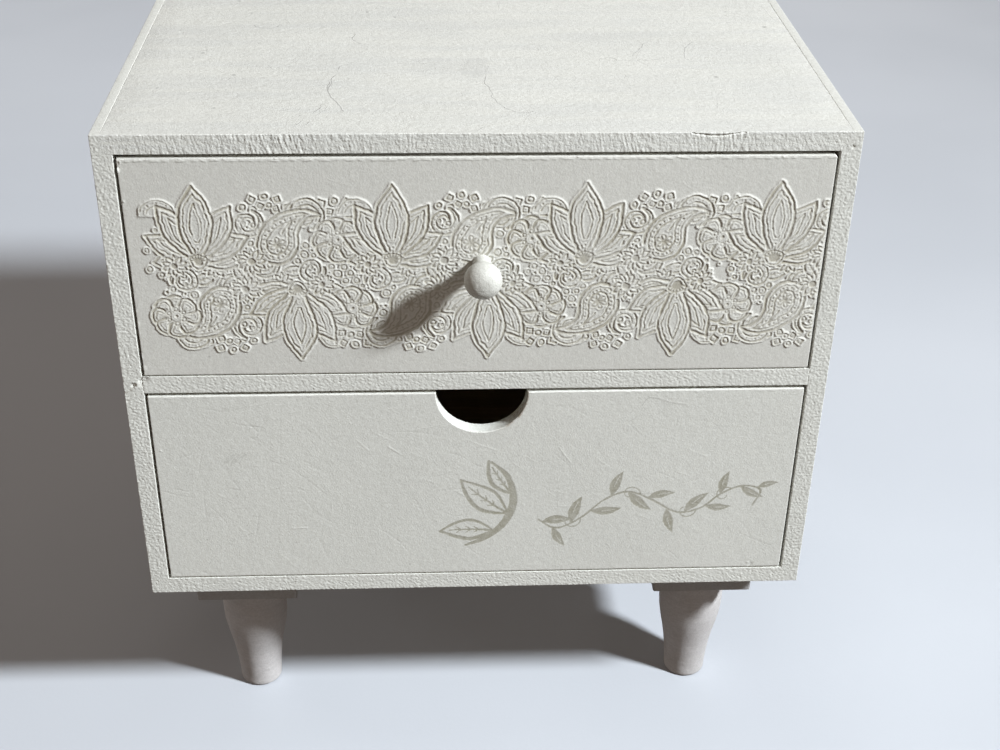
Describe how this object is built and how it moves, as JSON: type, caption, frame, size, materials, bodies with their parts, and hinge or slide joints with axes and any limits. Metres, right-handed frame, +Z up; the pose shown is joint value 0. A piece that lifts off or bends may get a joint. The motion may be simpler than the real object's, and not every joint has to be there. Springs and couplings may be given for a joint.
{
  "type": "mini chest of drawers",
  "caption": "Small tabletop chest with stacked sliding drawers, a turned knob, a finger notch and short turned legs, painted ivory white with an embossed lace band.",
  "frame": {"origin": "centre of the overall footprint, knob included, on the surface that the feet stand on; the carcass runs from 72 mm in front of it to 88 mm behind it", "axes": "+X to the right across the width, +Y from the drawer fronts to the back, +Z up"},
  "size_m": [0.22, 0.1766, 0.232],
  "materials": {
    "painted_board": "matte ivory paint on 6 mm craft board",
    "painted_front": "matte ivory paint, embossed or stencilled",
    "painted_turning": "matte ivory paint on turned wood",
    "bare_wood": "bare sanded pale wood",
    "back_board": "thin board with one coat of ivory paint",
    "steel_pins": "plain steel wire pins",
    "zinc_screws": "zinc plated cross-recess screws"
  },
  "bodies": {
    "carcass": {"top_panel": "painted_board", "bottom_panel": "painted_board", "left_side_panel": "painted_board", "right_side_panel": "painted_board", "divider_shelf": "painted_board", "back_panel": "back_board", "carcass_brads": "steel_pins", "back_panel_pins": "steel_pins", "leg_front_left": "painted_turning", "leg_front_right": "painted_turning", "leg_back_left": "painted_turning", "leg_back_right": "painted_turning", "leg_plate_front_left": "painted_turning", "leg_plate_front_right": "painted_turning", "leg_plate_back_left": "painted_turning", "leg_plate_back_right": "painted_turning", "leg_screws": "zinc_screws"},
    "upper_drawer": {"upper_drawer_front": "painted_front", "upper_drawer_left_side": "bare_wood", "upper_drawer_right_side": "bare_wood", "upper_drawer_back": "bare_wood", "upper_drawer_bottom": "bare_wood", "upper_drawer_pins": "steel_pins", "upper_drawer_knob": "painted_turning", "knob_screw": "zinc_screws"},
    "lower_drawer": {"lower_drawer_front": "painted_front", "lower_drawer_left_side": "bare_wood", "lower_drawer_right_side": "bare_wood", "lower_drawer_back": "bare_wood", "lower_drawer_bottom": "bare_wood", "lower_drawer_pins": "steel_pins"}
  },
  "joints": [
    {"name": "upper_drawer_slide", "type": "slide", "parent": "carcass", "child": "upper_drawer", "axis": [0, -1, 0], "range_m": [0, 0.125]},
    {"name": "lower_drawer_slide", "type": "slide", "parent": "carcass", "child": "lower_drawer", "axis": [0, -1, 0], "range_m": [0, 0.125]}
  ]
}
